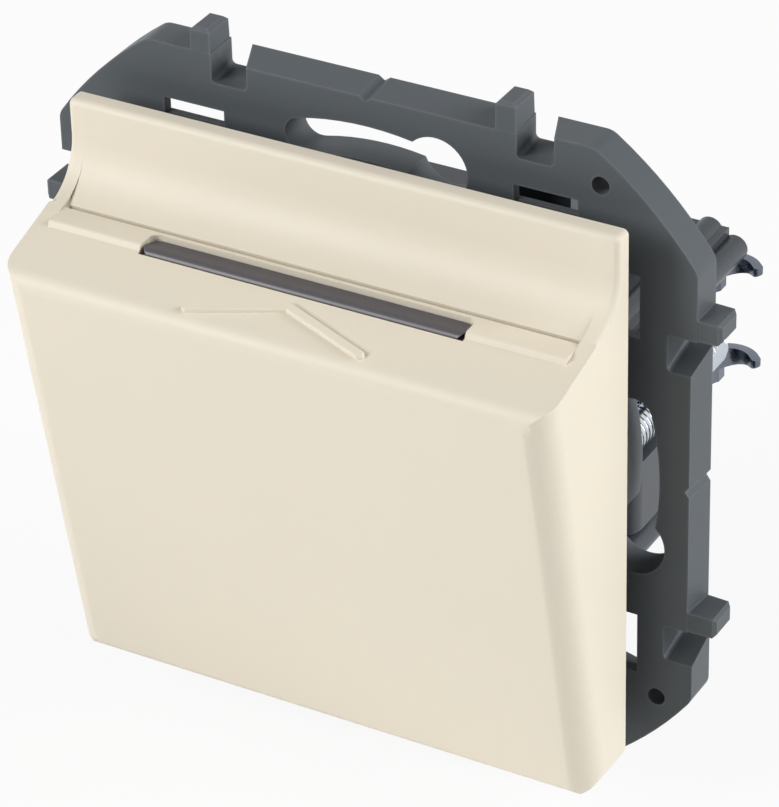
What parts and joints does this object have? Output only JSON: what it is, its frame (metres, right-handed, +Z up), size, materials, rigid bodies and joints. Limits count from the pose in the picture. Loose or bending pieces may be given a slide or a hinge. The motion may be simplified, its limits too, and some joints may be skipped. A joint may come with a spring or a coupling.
{
  "type": "light switch",
  "caption": "Flush hotel card switch: ivory moulded cover with a card slit and smoked light bar over a slim dark support frame, with spreading claws behind.",
  "frame": {"origin": "centre of the fixing holes, on the frame's wall face", "axes": "+X right seen from the front, +Y into the wall, +Z up; the front faces -Y"},
  "size_m": [0.0764, 0.0529, 0.0764],
  "materials": {
    "ivory_moulding": "satin",
    "smoked_lens": "polished",
    "dark_frame": "fine grain",
    "dark_plate": "matt",
    "dark_housing": "matt",
    "grey_slider": "matt",
    "contact_brass": "rolled",
    "bright_steel": "drawn",
    "zinc_plate": "bright zinc",
    "board": "matt",
    "lamp": "clear"
  },
  "bodies": {
    "mechanism": {"support_frame": "dark_frame", "mechanism_housing": "dark_housing", "rear_cover": "dark_housing", "front_plate": "dark_plate", "housing_screw_upper": "zinc_plate", "housing_screw_lower": "zinc_plate", "lamp_board": "board", "indicator_lamp": "lamp", "lever_pin": "bright_steel", "claw_pin_left": "bright_steel", "claw_pin_right": "bright_steel", "contact_strip_left": "contact_brass", "contact_strip_right": "contact_brass"},
    "cover": {"cover_shell": "ivory_moulding", "card_pocket": "ivory_moulding", "light_lens": "smoked_lens"},
    "lever": {"card_lever": "grey_slider"},
    "slider": {"contact_slider": "grey_slider", "contact_bridge": "contact_brass", "contact_spring": "bright_steel"},
    "claw_screw_left": {"claw_screw_left": "zinc_plate"},
    "claw_nut_left": {"claw_nut_left": "zinc_plate"},
    "claw_left": {"claw_left": "zinc_plate"},
    "claw_screw_right": {"claw_screw_right": "zinc_plate"},
    "claw_nut_right": {"claw_nut_right": "zinc_plate"},
    "claw_right": {"claw_right": "zinc_plate"},
    "terminal_screw_upper_left": {"terminal_screw_upper_left": "bright_steel"},
    "terminal_cage_upper_left": {"terminal_cage_upper_left": "zinc_plate"},
    "terminal_screw_upper_right": {"terminal_screw_upper_right": "bright_steel"},
    "terminal_cage_upper_right": {"terminal_cage_upper_right": "zinc_plate"},
    "terminal_screw_lower_left": {"terminal_screw_lower_left": "bright_steel"},
    "terminal_cage_lower_left": {"terminal_cage_lower_left": "zinc_plate"},
    "terminal_screw_lower_right": {"terminal_screw_lower_right": "bright_steel"},
    "terminal_cage_lower_right": {"terminal_cage_lower_right": "zinc_plate"}
  },
  "joints": [
    {"name": "cover_pull", "type": "slide", "parent": "mechanism", "child": "cover", "axis": [0, -1, 0], "range_m": [0, 0.012]},
    {"name": "lever_swing", "type": "hinge", "parent": "mechanism", "child": "lever", "pos_m": [0, -0.001, 0], "axis": [1, 0, 0], "range_deg": [0, 12]},
    {"name": "contact_lift", "type": "slide", "parent": "mechanism", "child": "slider", "axis": [0, 0, 1], "range_m": [0, 0.00147], "stiffness_N_per_m": 60, "springref_m": -0.002, "deforming": ["contact_spring"]},
    {"name": "claw_screw_turn_left", "type": "hinge", "parent": "mechanism", "child": "claw_screw_left", "pos_m": [-0.0252, -0.004, 0], "axis": [0, 1, 0], "range_deg": [0, 2058]},
    {"name": "claw_nut_slide_left", "type": "slide", "parent": "mechanism", "child": "claw_nut_left", "axis": [0, -1, 0], "range_m": [0, 0.004]},
    {"name": "claw_swing_left", "type": "hinge", "parent": "mechanism", "child": "claw_left", "pos_m": [-0.0219, 0.0032, 0], "axis": [0, 0, 1], "range_deg": [0, 14]},
    {"name": "claw_screw_turn_right", "type": "hinge", "parent": "mechanism", "child": "claw_screw_right", "pos_m": [0.0252, -0.004, 0], "axis": [0, 1, 0], "range_deg": [0, 2058]},
    {"name": "claw_nut_slide_right", "type": "slide", "parent": "mechanism", "child": "claw_nut_right", "axis": [0, -1, 0], "range_m": [0, 0.004]},
    {"name": "claw_swing_right", "type": "hinge", "parent": "mechanism", "child": "claw_right", "pos_m": [0.0219, 0.0032, 0], "axis": [0, 0, -1], "range_deg": [0, 14]},
    {"name": "terminal_turn_upper_left", "type": "hinge", "parent": "mechanism", "child": "terminal_screw_upper_left", "pos_m": [-0.0135, 0.0209, 0.0056], "axis": [0, -1, 0], "range_deg": [0, 1440]},
    {"name": "terminal_clamp_upper_left", "type": "slide", "parent": "mechanism", "child": "terminal_cage_upper_left", "axis": [0, 1, 0], "range_m": [0, 0.002]},
    {"name": "terminal_turn_upper_right", "type": "hinge", "parent": "mechanism", "child": "terminal_screw_upper_right", "pos_m": [0.0135, 0.0209, 0.0056], "axis": [0, -1, 0], "range_deg": [0, 1440]},
    {"name": "terminal_clamp_upper_right", "type": "slide", "parent": "mechanism", "child": "terminal_cage_upper_right", "axis": [0, 1, 0], "range_m": [0, 0.002]},
    {"name": "terminal_turn_lower_left", "type": "hinge", "parent": "mechanism", "child": "terminal_screw_lower_left", "pos_m": [-0.0135, 0.0209, -0.0056], "axis": [0, -1, 0], "range_deg": [0, 1440]},
    {"name": "terminal_clamp_lower_left", "type": "slide", "parent": "mechanism", "child": "terminal_cage_lower_left", "axis": [0, 1, 0], "range_m": [0, 0.002]},
    {"name": "terminal_turn_lower_right", "type": "hinge", "parent": "mechanism", "child": "terminal_screw_lower_right", "pos_m": [0.0135, 0.0209, -0.0056], "axis": [0, -1, 0], "range_deg": [0, 1440]},
    {"name": "terminal_clamp_lower_right", "type": "slide", "parent": "mechanism", "child": "terminal_cage_lower_right", "axis": [0, 1, 0], "range_m": [0, 0.002]}
  ],
  "couplings": [
    {"joint": "lever_swing", "follows": "contact_lift", "rad_per_m": 142.86},
    {"joint": "claw_screw_turn_left", "follows": "claw_nut_slide_left", "rad_per_m": 8975.9},
    {"joint": "claw_swing_left", "follows": "claw_nut_slide_left", "rad_per_m": 61},
    {"joint": "claw_screw_turn_right", "follows": "claw_nut_slide_right", "rad_per_m": 8975.9},
    {"joint": "claw_swing_right", "follows": "claw_nut_slide_right", "rad_per_m": 61},
    {"joint": "terminal_turn_upper_left", "follows": "terminal_clamp_upper_left", "rad_per_m": 12566},
    {"joint": "terminal_turn_upper_right", "follows": "terminal_clamp_upper_right", "rad_per_m": 12566},
    {"joint": "terminal_turn_lower_left", "follows": "terminal_clamp_lower_left", "rad_per_m": 12566},
    {"joint": "terminal_turn_lower_right", "follows": "terminal_clamp_lower_right", "rad_per_m": 12566}
  ]
}
